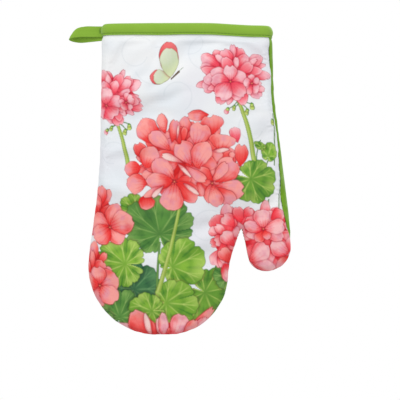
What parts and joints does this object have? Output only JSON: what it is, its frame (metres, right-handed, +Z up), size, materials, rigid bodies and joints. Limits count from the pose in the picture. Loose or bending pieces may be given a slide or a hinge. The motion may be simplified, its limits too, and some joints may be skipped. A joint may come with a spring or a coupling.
{
  "type": "oven mitt",
  "caption": "Padded fabric oven mitt with a separate thumb, a printed front, a diamond-quilted back, a bound cuff and a hanging loop.",
  "frame": {"origin": "centre of the cuff's opening, in the plane of the cuff's cut edge, where the binding folds over it", "axes": "+Z up out of the opening along the arm, +X towards the thumb's side, -Y out of the printed front; the fingers point down"},
  "size_m": [0.2164, 0.0366, 0.301],
  "materials": {
    "printed_cotton": "plain-weave cotton with a printed flower pattern on off-white",
    "green_cotton": "plain-weave green cotton, diamond quilted",
    "wadding": "bonded polyester wadding",
    "lining": "plain undyed cotton",
    "binding_tape": "green cotton bias tape",
    "thread": "green sewing thread"
  },
  "bodies": {
    "hand": {"printed_front_hand": "printed_cotton", "quilted_back_hand": "green_cotton", "front_wadding_hand": "wadding", "back_wadding_hand": "wadding", "front_lining_hand": "lining", "back_lining_hand": "lining", "side_seam_thread_hand": "thread", "quilting_thread_hand": "thread", "cuff_binding": "binding_tape", "binding_stitching": "thread", "loop_bar_tack": "thread"},
    "fingers": {"printed_front_fingers": "printed_cotton", "quilted_back_fingers": "green_cotton", "front_wadding_fingers": "wadding", "back_wadding_fingers": "wadding", "front_lining_fingers": "lining", "back_lining_fingers": "lining", "side_seam_thread_fingers": "thread", "quilting_thread_fingers": "thread"},
    "thumb": {"printed_front_thumb": "printed_cotton", "quilted_back_thumb": "green_cotton", "front_wadding_thumb": "wadding", "back_wadding_thumb": "wadding", "front_lining_thumb": "lining", "back_lining_thumb": "lining", "side_seam_thread_thumb": "thread", "quilting_thread_thumb": "thread"},
    "loop": {"hanging_loop": "binding_tape"}
  },
  "joints": [
    {"name": "finger_flex", "type": "hinge", "parent": "hand", "child": "fingers", "pos_m": [0, 0, -0.1997], "axis": [1, 0, 0], "range_deg": [0, 45]},
    {"name": "thumb_flex", "type": "hinge", "parent": "hand", "child": "thumb", "pos_m": [0.0523, 0, -0.1997], "axis": [0.866, 0, 0.5], "range_deg": [0, 40]},
    {"name": "loop_flap", "type": "hinge", "parent": "hand", "child": "loop", "pos_m": [-0.0856, 0, -0.0067], "axis": [0, 0, 1], "range_deg": [-80, 80]}
  ]
}
